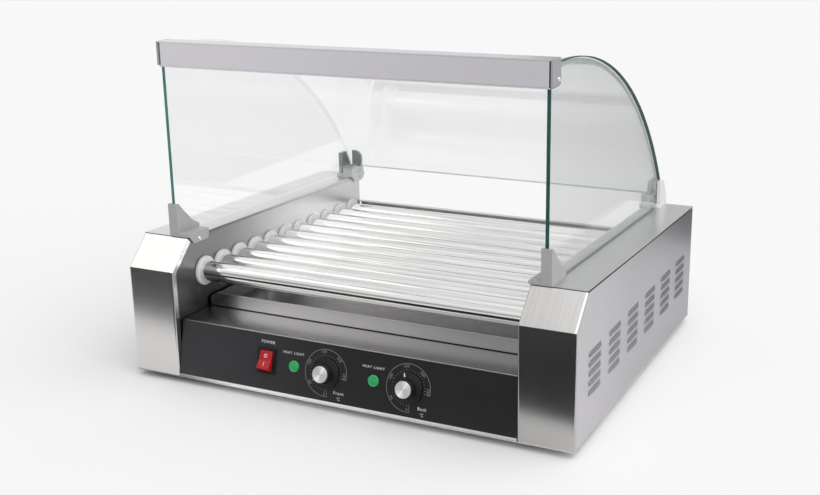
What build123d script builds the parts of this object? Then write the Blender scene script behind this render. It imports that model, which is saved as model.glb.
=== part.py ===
"""Hot dog roller grill: eleven turning heated tubes over a drip tray, under a glass hood.

Millimetres. X to the right, Y to the back, Z up. The origin is on the ground, under the
middle of the grill. Right-hand pieces are drawn and left-hand ones are their mirror images.
"""
from build123d import *
import os
from math import atan2, cos, degrees, hypot, pi, sin, sqrt, tan

# ---- body ----
HALF_WIDTH = 285.0          # outer faces of the two side boxes
FRONT_Y = -233.5
REAR_Y = 233.5
FOOT_HEIGHT = 8.0
SHEET = 1.0                 # stainless sheet of the covers
BASE_SHEET = 1.2
BODY_Z = FOOT_HEIGHT + BASE_SHEET
KNEE_Z = 140.9              # the vertical front ends here and the slant begins
CREST_Y = -198.0            # the slant ends here and the top begins
CREST_Z = 175.4
TOP_REAR_Z = 161.2          # the top falls gently to the rear
FLANGE = 8.0                # return flanges of the front covers
CORNER_R = 2.6              # bends of the front covers
CREST_GAP = 1.5             # the front covers stop this far short of the crest, under the top
INNER_X = 222.4             # inner face of each side box
BEND = 4.0                  # bend radius between the top and the inner wall
SEAM = 1.4                  # open seam between a box's top and its side cover

# ---- louvres in the side covers ----
LOUVRE_COLUMNS = 6
LOUVRE_ROWS = 5
LOUVRE_FIRST_Y = -189.6
LOUVRE_PITCH_Y = 69.0
LOUVRE_LENGTH = 40.1
LOUVRE_TOP_Z = 105.5
LOUVRE_PITCH_Z = 11.0
LOUVRE_SLOPE = 4.0          # height of a louvre's sloping part
LOUVRE_DROP = 5.6           # from the top of a louvre to its open lower edge
LOUVRE_PROUD = 2.4

# ---- rollers ----
ROLLERS = 11
ROLLER_R = 12.5
ROLLER_WALL = 1.0
ROLLER_PITCH = 37.0
ROLLER_DROP = 1.5           # each axis is this much lower than the one in front of it
ROLLER_FIRST_Y = -168.0
ROLLER_FIRST_Z = 125.3
ROLLER_LEFT_X = -234.0
ROLLER_RIGHT_X = 238.8
BUSHING_R = 18.2
BUSHING_FACE = 3.5
BUSHING_NECK_R = 15.0
RUNNING_GAP = 0.08
ELEMENT_R = 4.0
ELEMENT_HALF = 270.0
ELEMENT_BAR_X = 262.0

# ---- chain drive, in the right-hand box ----
CHAIN_PITCH = 6.35
CHAIN_LINKS = 136
TEETH = 15
PITCH_R = TEETH * CHAIN_PITCH / (2 * pi)
PIN_R = 1.65
TOOTH_TIP_R = PITCH_R + 1.15
SPROCKET_THICK = 2.8
SPROCKET_X = ROLLER_RIGHT_X - SPROCKET_THICK
PLATE_HALF_HEIGHT = 2.5
MOTOR_Y = 17.0
MOTOR_R = 27.0
MOTOR_X = 246.0
MOTOR_SHAFT_R = 3.5

# ---- control housing ----
LEDGE_Z = 78.2
LEDGE_FRONT_Y = -218.5
LEDGE_REAR_Y = -150.0
FASCIA_BOTTOM_Z = 12.6
HOUSING_HALF = 221.2
FASCIA_THICK = 1.0
DIAL_X = (-16.9, 89.2)
DIAL_UP = 32.7              # heights of the controls are measured up the fascia from its lower edge
LAMP_X = (-59.5, 45.3)
LAMP_UP = 33.7
ROCKER_X = -97.3
ROCKER_UP = 34.5
ROCKER_R = 13.0
ROCKER_SUNK = 3.0
ROCKER_FOLD = (1.0, 5.0)    # where the two front faces meet: up from the middle, out from the panel
ROCKER_NOSE = (-8.0, 10.0)  # the lower face's outer edge
KNOB_HEIGHT = 14.1
KNOB_SKIRT = 3.6            # top of the skirt above the fascia
KNOB_CAP_R = 9.7
KNOB_CAP_THICK = 0.8
SPINDLE_R = 3.0
PANEL_HOLE_R = 5.2
DIAL_REST = (124.6, 15.0)   # the front pointer stands at 50 and the back one at 150

# ---- drip tray ----
TRAY_Z = 79.2
TRAY_SHEET = 0.8
TRAY_HALF = 219.5
TRAY_FRONT_Y = -163.0
TRAY_REAR_Y = 222.0
TRAY_LIP_Z = 96.0
TRAY_WALL_Z = 90.0

# ---- glass hood ----
GLASS_X = 237.2             # inner face of each side glass
GLASS_THICK = 4.2
GLASS_FRONT_Y = -197.0
ARC_Y = -155.0              # centre of the hood's curve
ARC_Z = -42.5
SIDE_GLASS_R = 448.0
CURVED_R = 445.5
CURVED_THICK = 5.0
CURVED_BOTTOM_Z = 174.5
BAR_FRONT_Y = -201.0
BAR_REAR_Y = -177.0
BAR_BOTTOM_Z = 381.3
BAR_TOP_Z = 410.8
BAR_HALF = 242.0
BAR_WALL = 1.5
CAP_THICK = 2.2
CAP_LIFT = 1.8              # the end caps stop this far above the bar's lower face
FACE_SHORT = 2.0            # the face strip stops this far from each end cap
BRACKET_INNER_X = 219.9
BRACKET_OUTER_X = 246.0
BRACKET_PLATE = 4.0
SLOT_GAP = 0.3
FRONT_SCREW = (-177.0, 169.4)
REAR_SCREW = (226.0, 159.5)

# ---- cord gland: only the inlet, with a clear hole for the lead ----
GLAND_X = 168.0
GLAND_Z = 38.0
GLAND_NECK_R = 7.0
GLAND_BORE_R = 4.0

TOP_SLOPE = (CREST_Z - TOP_REAR_Z) / (REAR_Y - CREST_Y)
SLANT_ANGLE = atan2(CREST_Y - FRONT_Y, CREST_Z - KNEE_Z)
FASCIA_LENGTH = hypot(LEDGE_FRONT_Y - FRONT_Y, LEDGE_Z - FASCIA_BOTTOM_Z)
FASCIA_UP_Y = (LEDGE_FRONT_Y - FRONT_Y) / FASCIA_LENGTH
FASCIA_UP_Z = (LEDGE_Z - FASCIA_BOTTOM_Z) / FASCIA_LENGTH

STANDING = (Align.CENTER, Align.CENTER, Align.MIN)


# ---- drawing helpers ----
def block(x0, x1, y0, y1, z0, z1):
    """A rectangular block between two corners."""
    return Pos(x0, y0, z0) * Box(x1 - x0, y1 - y0, z1 - z0, align=(Align.MIN, Align.MIN, Align.MIN))


def side_face(points, x):
    """A flat face at x, from an outline of (y, z) points."""
    return Plane.YZ.offset(x) * make_face(Polyline(points, close=True))


def across(points, x0, x1):
    """An outline of (y, z) points, carried along X."""
    return extrude(side_face(points, x0), x1 - x0)


def disc(y, z, radius, x0, x1):
    """A cylinder along X."""
    return extrude(Plane.YZ.offset(x0) * Pos(y, z) * Circle(radius), x1 - x0)


def arc_disc(radius, x0, x1):
    """A cylinder along X about the centre of the hood's curve."""
    return disc(ARC_Y, ARC_Z, radius, x0, x1)


def top_z(y):
    """Height of the side boxes' top at y."""
    return CREST_Z - (y - CREST_Y) * TOP_SLOPE


def slant_point(down, inward):
    """A point this far down the slant from its crest, and this far inside it."""
    return (CREST_Y - down * sin(SLANT_ANGLE) + inward * cos(SLANT_ANGLE),
            CREST_Z - down * cos(SLANT_ANGLE) - inward * sin(SLANT_ANGLE))


def knee_point(inward):
    """The corner between the vertical front and the slant, moved inside by this much."""
    return (FRONT_Y + inward, KNEE_Z - inward * tan(SLANT_ANGLE / 2))


def fascia_point(up, proud):
    """(y, z) this far up the fascia from its lower edge, and this far in front of it."""
    return (FRONT_Y + up * FASCIA_UP_Y - proud * FASCIA_UP_Z,
            FASCIA_BOTTOM_Z + up * FASCIA_UP_Z + proud * FASCIA_UP_Y)


def on_fascia(x, up):
    """A work plane on the fascia: local X to the right, Y up the slope, Z straight out."""
    y, z = fascia_point(up, 0)
    return Plane(origin=(x, y, z), x_dir=(1, 0, 0), z_dir=(0, -FASCIA_UP_Z, FASCIA_UP_Y))


def stud(plane, x, y, z0, z1, radius):
    """A cylinder along the plane's normal, from height z0 to z1."""
    return plane * Pos(x, y, z0) * Cylinder(radius, z1 - z0, align=STANDING)


def roller_axis(number):
    """(y, z) of a roller's axis, counted from 0 at the front."""
    return (ROLLER_FIRST_Y + number * ROLLER_PITCH, ROLLER_FIRST_Z - number * ROLLER_DROP)


def left(part):
    """The left-hand twin of a right-hand piece."""
    return mirror(part, about=Plane.YZ)


# ---- chain layout ----
def chain_length(motor_z):
    """Length of the chain round the front, rear and motor sprockets."""
    front, rear, motor = roller_axis(0), roller_axis(ROLLERS - 1), (MOTOR_Y, motor_z)
    corners = [front, rear, motor, front]
    return 2 * pi * PITCH_R + sum(hypot(b[0] - a[0], b[1] - a[1]) for a, b in zip(corners, corners[1:]))


def motor_height():
    """The motor hangs at the height that closes the chain on a whole number of links."""
    low, high = 20.0, 90.0
    for _ in range(60):
        middle = (low + high) / 2
        if chain_length(middle) > CHAIN_LINKS * CHAIN_PITCH:
            low = middle
        else:
            high = middle
    return (low + high) / 2


MOTOR_Z = motor_height()
LOOP = Polyline([roller_axis(0), roller_axis(ROLLERS - 1), (MOTOR_Y, MOTOR_Z)], close=True)


def loop_face(radius):
    """The chain loop's triangle of sprocket centres, grown by radius with round corners."""
    return offset(make_face(LOOP), radius, kind=Kind.ARC)


def chain_pins():
    """(y, z) of every chain pin."""
    wire = loop_face(PITCH_R).face().outer_wire()
    step = wire.length / CHAIN_LINKS
    points = [wire.position_at(i * step, position_mode=PositionMode.LENGTH) for i in range(CHAIN_LINKS)]
    return [(point.X, point.Y) for point in points]


PINS = chain_pins()


def sprocket(axis, bore_r):
    """A chain sprocket on this axis, turned so that its gaps take the chain's pins."""
    nearest = min(PINS, key=lambda pin: hypot(pin[0] - axis[0], pin[1] - axis[1]))
    start = degrees(atan2(nearest[1] - axis[1], nearest[0] - axis[0]))
    gap_r = PIN_R + 0.2
    mouth = Polyline([(PITCH_R, -gap_r), (PITCH_R + 2, -gap_r - 0.95),
                      (PITCH_R + 2, gap_r + 0.95), (PITCH_R, gap_r)], close=True)
    gap = Pos(PITCH_R, 0) * Circle(gap_r) + make_face(mouth)
    outline = Circle(TOOTH_TIP_R) - Circle(bore_r)
    for tooth in range(TEETH):
        outline -= Rot(0, 0, start + tooth * 360 / TEETH) * gap
    return extrude(Plane.YZ.offset(SPROCKET_X) * Pos(*axis) * outline, SPROCKET_THICK)


# ---- body ----
def base_pan():
    """Floor plate with an upturned rim inside the covers."""
    rim_x, rim_y, rim_z = HALF_WIDTH - SHEET - 0.2, REAR_Y - SHEET - 1.2, BODY_Z + 10
    floor = block(-HALF_WIDTH, HALF_WIDTH, FRONT_Y, REAR_Y, FOOT_HEIGHT, BODY_Z)
    rim = block(-rim_x, rim_x, -rim_y, rim_y, FOOT_HEIGHT, rim_z)
    rim -= block(-rim_x + 1, rim_x - 1, -rim_y + 1, rim_y - 1, BODY_Z, rim_z)
    rim -= block(-INNER_X - 2, INNER_X + 2, -rim_y - 1, rim_y + 1, BODY_Z, rim_z)
    return floor + rim


def long_top_edge(part, x):
    """The upper of the two longest edges in the plane at x."""
    edges = part.edges().filter_by_position(Axis.X, x - 0.01, x + 0.01)
    return edges.sort_by(SortBy.LENGTH)[-2:].sort_by(Axis.Z)[-1]


def inner_panel():
    """Inner wall and top of a side box, bent from one sheet, with holes for the roller bushings."""
    gap = CORNER_R + 0.1
    crest = slant_point(CREST_GAP + 0.1, gap)
    rear = REAR_Y - 5.0
    outer = across([(FRONT_Y + gap, BODY_Z), knee_point(gap), crest, (crest[0], top_z(crest[0])),
                    (rear, top_z(rear)), (rear, BODY_Z)], INNER_X, HALF_WIDTH)
    core = across([(FRONT_Y, 0), (FRONT_Y, top_z(FRONT_Y) - SHEET),
                   (REAR_Y, top_z(REAR_Y) - SHEET), (REAR_Y, 0)], INNER_X + SHEET, HALF_WIDTH + 1)
    outer = fillet(long_top_edge(outer, INNER_X), BEND)
    core = fillet(long_top_edge(core, INNER_X + SHEET), BEND - SHEET)
    front, back = CREST_Y - 1.0, REAR_Y
    lip = across([(front, top_z(front)), (back, top_z(back)), (back, top_z(back) - SHEET),
                  (front, top_z(front) - SHEET)], INNER_X + BEND, HALF_WIDTH)
    panel = outer - core + lip
    for number in range(ROLLERS):
        panel -= disc(*roller_axis(number), BUSHING_NECK_R, INNER_X - 1, INNER_X + 2)
    return panel


def cover_shell(inset, x0, x1, end):
    """The space inside a front cover's surface moved in by inset, with round corners towards the sides."""
    deep = FLANGE + end
    shell = across([(FRONT_Y + inset, BODY_Z - end), knee_point(inset), slant_point(CREST_GAP - end, inset),
                    slant_point(CREST_GAP - end, deep), knee_point(deep), (FRONT_Y + deep, BODY_Z - end)],
                   x0 + inset, x1 - inset)
    corners = shell.edges().filter_by(Axis.X, reverse=True).filter_by(lambda edge: is_on_front(edge, inset))
    return fillet(corners, CORNER_R - inset)


def is_on_front(edge, inset):
    """Whether an edge lies along the vertical or slanted front, moved in by inset."""
    middle = edge.center()
    if middle.Z < knee_point(inset)[1]:
        return abs(middle.Y - FRONT_Y - inset) < 0.01
    depth = (middle.Y - CREST_Y) * cos(SLANT_ANGLE) - (middle.Z - CREST_Z) * sin(SLANT_ANGLE)
    return abs(depth - inset) < 0.01


def front_cover():
    """Vertical and slanted front of a side box, bent back over both sides and open behind."""
    x0, x1 = INNER_X - SHEET, HALF_WIDTH + SHEET
    return cover_shell(0, x0, x1, 0) - cover_shell(SHEET, x0, x1, 9.0)


def louvre_solid(y0, y1, outline):
    """An outline of (x, z) points, carried along Y."""
    plane = Plane(origin=(0, y0, 0), x_dir=(1, 0, 0), z_dir=(0, -1, 0))
    return extrude(plane * make_face(Polyline(outline, close=True)), y0 - y1)


def louvre(y0, z_top):
    """A pressed scoop, open along its lower edge, and the hollow behind it."""
    out, back = HALF_WIDTH + LOUVRE_PROUD, HALF_WIDTH - SHEET
    knee, low = z_top - LOUVRE_SLOPE, z_top - LOUVRE_DROP
    outline = [(back, z_top), (HALF_WIDTH, z_top), (out, knee), (out, low), (back, low)]
    hollow = [(back - 1, z_top - SHEET), (out - SHEET, knee - SHEET), (out - SHEET, low - 3),
              (back - 1, low - 3)]
    shell = louvre_solid(y0, y0 + LOUVRE_LENGTH, outline)
    return shell, louvre_solid(y0 + SHEET, y0 + LOUVRE_LENGTH - SHEET, hollow)


def side_cover():
    """Outer side of a side box with its louvres, turned in along the rear."""
    seam = SHEET + SEAM
    inset = FLANGE + 0.3
    down = SEAM + 0.8
    crest = slant_point(down, CORNER_R + 0.1)
    outline = [(FRONT_Y + inset, BODY_Z), knee_point(inset), slant_point(down, inset), crest,
               (crest[0], top_z(crest[0]) - seam), (REAR_Y, top_z(REAR_Y) - seam), (REAR_Y, BODY_Z)]
    cover = across(outline, HALF_WIDTH - SHEET, HALF_WIDTH)
    cover += block(INNER_X + 3.6, HALF_WIDTH, REAR_Y - SHEET, REAR_Y, BODY_Z, top_z(REAR_Y) - seam)
    pairs = [louvre(LOUVRE_FIRST_Y + column * LOUVRE_PITCH_Y, LOUVRE_TOP_Z - row * LOUVRE_PITCH_Z)
             for column in range(LOUVRE_COLUMNS) for row in range(LOUVRE_ROWS)]
    cover += [shell for shell, _ in pairs]
    return cover - [hollow for _, hollow in pairs]


def rear_panel():
    """Rear wall between the side boxes, folded forward along its top, with the lead's inlet hole."""
    half, top = INNER_X - 0.3, 121.0
    panel = block(-half, half, REAR_Y - SHEET, REAR_Y, BODY_Z, top)
    panel += block(-half, half, REAR_Y - FLANGE, REAR_Y, top - SHEET, top)
    hole = Plane(origin=(GLAND_X, REAR_Y, GLAND_Z), x_dir=(1, 0, 0), z_dir=(0, 1, 0))
    return panel - stud(hole, 0, 0, -5, 5, GLAND_NECK_R + 0.1)


def cord_gland():
    """Round gland through the rear panel; it reaches back as far as the knobs reach forward."""
    plane = Plane(origin=(GLAND_X, 0, GLAND_Z), x_dir=(1, 0, 0), z_dir=(0, 1, 0))
    reach = -fascia_point(DIAL_UP - KNOB_CAP_R, KNOB_HEIGHT)[0]
    body = stud(plane, 0, 0, REAR_Y - 9, reach, GLAND_NECK_R) + stud(plane, 0, 0, REAR_Y, REAR_Y + 3, 11.0)
    body += stud(plane, 0, 0, REAR_Y - SHEET - 4, REAR_Y - SHEET, 10.5)
    return body - stud(plane, 0, 0, REAR_Y - 20, reach + 1, GLAND_BORE_R)


# ---- control housing ----
def control_housing():
    """Ledge, sloping front behind the fascia, and lower strip, bent from one sheet."""
    edge = 1.3
    back = FASCIA_THICK + SHEET
    inner_top = (LEDGE_Z - SHEET - FASCIA_BOTTOM_Z + back * FASCIA_UP_Y) / FASCIA_UP_Z
    outline = [(FRONT_Y, BODY_Z), fascia_point(0, 0), fascia_point(0.2, -FASCIA_THICK),
               fascia_point(FASCIA_LENGTH - edge, -FASCIA_THICK), fascia_point(FASCIA_LENGTH - edge, 0),
               fascia_point(FASCIA_LENGTH, 0), (LEDGE_REAR_Y, LEDGE_Z), (LEDGE_REAR_Y, BODY_Z),
               (LEDGE_REAR_Y - SHEET, BODY_Z), (LEDGE_REAR_Y - SHEET, LEDGE_Z - SHEET),
               fascia_point(inner_top, -back), fascia_point(0.2, -back), (FRONT_Y + SHEET, BODY_Z)]
    housing = across(outline, -HOUSING_HALF, HOUSING_HALF)
    return housing - control_holes()


def control_holes():
    """Openings through the fascia and the sheet behind it."""
    depth = 8.0
    rocker = on_fascia(ROCKER_X, ROCKER_UP) * Box(19, 27, depth)
    places = [(x, LAMP_UP) for x in LAMP_X] + [(x, DIAL_UP) for x in DIAL_X]
    return [rocker] + [stud(on_fascia(*place), 0, 0, -depth, depth, PANEL_HOLE_R) for place in places]


def control_fascia():
    """Black printed plate set into the sloping front."""
    low, high = 0.25, FASCIA_LENGTH - 1.35
    outline = [fascia_point(low, 0), fascia_point(high, 0),
               fascia_point(high, -FASCIA_THICK), fascia_point(low, -FASCIA_THICK)]
    return across(outline, -HOUSING_HALF + 0.2, HOUSING_HALF - 0.2) - control_holes()


def switch_bezel():
    """Frame and body of the power switch, open at the front for the rocker."""
    plane = on_fascia(ROCKER_X, ROCKER_UP)
    rim = plane * Pos(0, 0, 1.0) * Box(24.6, 30.4, 2.0)
    body = plane * Pos(0, 0, -9.0) * Box(18.6, 26.8, 18.0)
    opening = plane * Pos(0, 0, -6.0) * Box(17.0, 26.3, 20.0)
    return rim + body - opening


def rocker():
    """Rocker with round ends about its pivot and a shallow V across its front."""
    plane = on_fascia(ROCKER_X, ROCKER_UP)
    side = Plane(origin=plane.origin - plane.x_dir * 8.3, x_dir=plane.y_dir, z_dir=plane.x_dir)
    low, reach = -4.0, 14.0
    front = make_face(Polyline([(reach, 1.6), ROCKER_FOLD, ROCKER_NOSE, (-reach, ROCKER_NOSE[1]),
                                (-reach, low), (reach, low)], close=True))
    under = (-9.2, sqrt(ROCKER_R ** 2 - 9.2 ** 2) - ROCKER_SUNK)
    nose = make_face(Polyline([ROCKER_FOLD, ROCKER_NOSE, under, (0, 0)], close=True))
    profile = ((Pos(0, -ROCKER_SUNK) * Circle(ROCKER_R)) & front) + nose
    return extrude(side * profile, 16.6)


def heat_light(x):
    """Domed green lamp with its body behind the panel."""
    plane = on_fascia(x, LAMP_UP)
    lens = stud(plane, 0, 0, 0, 2.4, 6.9)
    lens = fillet(lens.edges().sort_by(Axis.Y)[0], 1.8)
    return lens + stud(plane, 0, 0, -18, 0, PANEL_HOLE_R - 0.2)


def thermostat(x):
    """Thermostat body behind the panel, with a bush for the knob's spindle."""
    plane = on_fascia(x, DIAL_UP)
    body = plane * Pos(0, 0, -12.5) * Box(38, 32, 18) + stud(plane, 0, 0, -4, 0.6, PANEL_HOLE_R - 0.2)
    return body - stud(plane, 0, 0, -12, 5, SPINDLE_R + 0.06)


def knob(x, rest):
    """Skirted black knob on its spindle, its pointer turned by the angle at rest."""
    plane = on_fascia(x, DIAL_UP)
    skirt = stud(plane, 0, 0, 0.9, KNOB_SKIRT, 18.4)
    height = KNOB_HEIGHT - KNOB_CAP_THICK - KNOB_SKIRT
    grip = plane * Pos(0, 0, KNOB_SKIRT) * Cone(12.4, KNOB_CAP_R + 0.8, height, align=STANDING)
    pointer = plane * Rot(0, 0, rest) * Pos(0, 14.6, KNOB_SKIRT) * Box(1.4, 6.4, 1.4)
    return skirt + grip + pointer + stud(plane, 0, 0, -11, 1, SPINDLE_R)


def knob_cap(x):
    """Bright disc set on the front of a knob."""
    return stud(on_fascia(x, DIAL_UP), 0, 0, KNOB_HEIGHT - KNOB_CAP_THICK, KNOB_HEIGHT, KNOB_CAP_R)


# ---- rollers and their drive ----
def roller(number):
    """Tube open at both ends, with a collar at its left and the drive sprocket at its right."""
    axis = roller_axis(number)
    tube = disc(*axis, ROLLER_R, ROLLER_LEFT_X, ROLLER_RIGHT_X)
    tube -= disc(*axis, ROLLER_R - ROLLER_WALL, ROLLER_LEFT_X - 1, ROLLER_RIGHT_X + 1)
    collar = disc(*axis, ROLLER_R + 2.5, ROLLER_LEFT_X + 1, ROLLER_LEFT_X + 4)
    collar -= disc(*axis, ROLLER_R, ROLLER_LEFT_X, ROLLER_LEFT_X + 5)
    return Compound([tube.solid(), collar.solid(), sprocket(axis, ROLLER_R).solid()])


def bushings():
    """The right-hand bushings: a flanged disc for each roller, necked into the inner panel."""
    rings = []
    for number in range(ROLLERS):
        axis = roller_axis(number)
        ring = disc(*axis, BUSHING_R, INNER_X - BUSHING_FACE, INNER_X)
        ring = fillet(ring.edges().sort_by(Axis.X)[0], 0.8)
        ring += disc(*axis, BUSHING_NECK_R, INNER_X, INNER_X + 3.5)
        rings.append((ring - disc(*axis, ROLLER_R + RUNNING_GAP, INNER_X - 9, INNER_X + 9)).solid())
    return Compound(rings)


def heating_elements():
    """A straight rod element through every roller, held still at both ends."""
    return Compound([disc(*roller_axis(number), ELEMENT_R, -ELEMENT_HALF, ELEMENT_HALF).solid()
                     for number in range(ROLLERS)])


def element_bar():
    """Strip that carries the right-hand ends of the elements, on a leg at each end."""
    front, rear = roller_axis(0), roller_axis(ROLLERS - 1)
    y0, y1 = front[0] - 24, rear[0] + 22
    fall = (front[1] - rear[1]) / (rear[0] - front[0])
    z0, z1 = front[1] + 24 * fall, rear[1] - 22 * fall
    strip = [(y0, z0 - 9), (y1, z1 - 9), (y1, z1 + 9), (y0, z0 + 9)]
    bar = across(strip, ELEMENT_BAR_X, ELEMENT_BAR_X + 1.5)
    for y, z in ((y0, z0), (y1 - 1.5, z1)):
        bar += block(INNER_X + SHEET, ELEMENT_BAR_X + 1.5, y, y + 1.5, z - 8, z + 8)
    for number in range(ROLLERS):
        bar -= disc(*roller_axis(number), ELEMENT_R, ELEMENT_BAR_X - 1, ELEMENT_BAR_X + 3)
    return bar


def drive_chain():
    """Roller chain, as two plate bands joined by all its pins."""
    band = loop_face(PITCH_R + PLATE_HALF_HEIGHT) - loop_face(PITCH_R - PLATE_HALF_HEIGHT)
    near, far = SPROCKET_X - 1.2, ROLLER_RIGHT_X + 0.3
    chain = extrude(Plane.YZ.offset(near) * band, 0.9) + extrude(Plane.YZ.offset(far) * band, 0.9)
    pins = Sketch() + [Pos(*pin) * Circle(PIN_R) for pin in PINS]
    return chain + extrude(Plane.YZ.offset(near) * pins, far + 0.9 - near)


def motor_sprocket():
    """Motor shaft with the driving sprocket."""
    axis = (MOTOR_Y, MOTOR_Z)
    shaft = disc(*axis, MOTOR_SHAFT_R, SPROCKET_X - 4, MOTOR_X + 5)
    return Compound([sprocket(axis, MOTOR_SHAFT_R).solid(), shaft.solid()])


def gear_motor():
    """Flat round gear motor, lying against its bracket."""
    axis = (MOTOR_Y, MOTOR_Z)
    body = disc(*axis, MOTOR_R, MOTOR_X, HALF_WIDTH - 5) + disc(*axis, 9, MOTOR_X - 3, MOTOR_X)
    return body - disc(*axis, MOTOR_SHAFT_R + RUNNING_GAP, MOTOR_X - 5, MOTOR_X + 5.2)


def motor_bracket():
    """Plate on four posts that holds the motor off the inner panel."""
    plate_x = MOTOR_X - 1.6
    plate = block(plate_x, MOTOR_X, MOTOR_Y - 44, MOTOR_Y + 44, 14, 82)
    plate -= disc(MOTOR_Y, MOTOR_Z, 9.2, plate_x - 1, MOTOR_X + 1)
    for y in (MOTOR_Y - 36, MOTOR_Y + 36):
        for z in (21, 74):
            plate += disc(y, z, 3.5, INNER_X + SHEET, plate_x)
    return plate


def terminal_block():
    """Terminal block on the floor of the control housing."""
    body = block(-190, -130, -205, -187, BODY_Z, BODY_Z + 15)
    for x in range(-182, -130, 11):
        body -= Pos(x, -196, BODY_Z + 12) * Cylinder(3, 8)
    return body


# ---- drip tray ----
def tray_rails():
    """Angle rails that carry the tray, one on each inner panel."""
    y0, y1 = LEDGE_REAR_Y + 1, REAR_Y - 12
    rail = block(INNER_X - 9, INNER_X, y0, y1, TRAY_Z - 1.3, TRAY_Z - 0.3)
    rail += block(INNER_X - 1, INNER_X, y0, y1, TRAY_Z - 11, TRAY_Z - 0.3)
    return Compound([rail.solid(), left(rail).solid()])


def drip_tray():
    """Shallow tray with a tall front lip, folded back along the top and cut off at its corners."""
    half, sheet = TRAY_HALF, TRAY_SHEET
    tray = block(-half, half, TRAY_FRONT_Y, TRAY_REAR_Y, TRAY_Z, TRAY_WALL_Z)
    tray -= block(-half + sheet, half - sheet, TRAY_FRONT_Y + sheet, TRAY_REAR_Y - sheet,
                  TRAY_Z + sheet, TRAY_WALL_Z + 1)
    cut = 9.0
    lip = Polyline([(-half, TRAY_Z), (half, TRAY_Z), (half, TRAY_LIP_Z - cut), (half - cut, TRAY_LIP_Z),
                    (-half + cut, TRAY_LIP_Z), (-half, TRAY_LIP_Z - cut)], close=True)
    front = Plane(origin=(0, TRAY_FRONT_Y, 0), x_dir=(1, 0, 0), z_dir=(0, -1, 0))
    tray += extrude(front * make_face(lip), -sheet)
    fold = [(TRAY_FRONT_Y, TRAY_LIP_Z), (TRAY_FRONT_Y, TRAY_LIP_Z - sheet),
            (TRAY_FRONT_Y + 9, TRAY_LIP_Z - 4 - sheet), (TRAY_FRONT_Y + 9, TRAY_LIP_Z - 4)]
    return tray + across(fold, -half + cut, half - cut)


# ---- glass hood ----
def side_glass():
    """Flat side glass: upright front edge, round top and rear edge, standing on the brackets."""
    lift = BRACKET_PLATE
    front, rear, top = GLASS_FRONT_Y, ARC_Y + SIDE_GLASS_R, ARC_Z + SIDE_GLASS_R
    outline = [(front, top_z(front) + lift), (front, top), (rear, top), (rear, top_z(rear) + lift)]
    x0, x1 = GLASS_X, GLASS_X + GLASS_THICK
    return across(outline, x0, x1) & arc_disc(SIDE_GLASS_R, x0, x1)


def curved_glass():
    """Bent glass from the bar down to the rear brackets."""
    half = GLASS_X - SLOT_GAP
    sheet = arc_disc(CURVED_R, -half, half) - arc_disc(CURVED_R - CURVED_THICK, -half, half)
    return sheet & block(-half, half, BAR_REAR_Y + SLOT_GAP, ARC_Y + CURVED_R, CURVED_BOTTOM_Z, BAR_TOP_Z)


def glass_slots():
    """Room for the side glasses in the bar's lower and rear walls."""
    gap = SLOT_GAP
    slot = block(GLASS_X - gap, GLASS_X + GLASS_THICK + gap, GLASS_FRONT_Y - gap, BAR_REAR_Y + 1,
                 BAR_BOTTOM_Z - 1, ARC_Z + SIDE_GLASS_R + 1)
    return [slot, left(slot)]


def hood_bar():
    """Bar across the top of the hood: a channel, open to the front for its face strip."""
    bar = block(-BAR_HALF, BAR_HALF, BAR_FRONT_Y, BAR_REAR_Y, BAR_BOTTOM_Z, BAR_TOP_Z)
    bar -= block(-BAR_HALF - 1, BAR_HALF + 1, BAR_FRONT_Y - 1, BAR_REAR_Y - BAR_WALL,
                 BAR_BOTTOM_Z + BAR_WALL, BAR_TOP_Z - BAR_WALL)
    return bar - glass_slots()


def bar_face():
    """Face strip of the bar, a little behind its lips."""
    half = BAR_HALF - FACE_SHORT
    return block(-half, half, BAR_FRONT_Y + 1, BAR_FRONT_Y + 2.5,
                 BAR_BOTTOM_Z + BAR_WALL, BAR_TOP_Z - BAR_WALL)


def bar_end_caps():
    """End caps of the bar."""
    cap = block(BAR_HALF, BAR_HALF + CAP_THICK, BAR_FRONT_Y, BAR_REAR_Y, BAR_BOTTOM_Z + CAP_LIFT, BAR_TOP_Z)
    cap = fillet(cap.edges().filter_by(Axis.X), 0.8)
    return Compound([cap.solid(), left(cap).solid()])


def screw(y, z, x, head_r, proud):
    """Pan head screw that points inwards along X, with its shank."""
    head = disc(y, z, head_r, x, x + proud)
    return fillet(head.edges().sort_by(Axis.X)[-1], proud * 0.6)


def bar_screws():
    """A screw low at the rear of each end cap."""
    head = screw(BAR_REAR_Y - 6.8, BAR_BOTTOM_Z + 8, BAR_HALF + CAP_THICK, 2.6, 1.5)
    return Compound([head.solid(), left(head).solid()])


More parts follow.
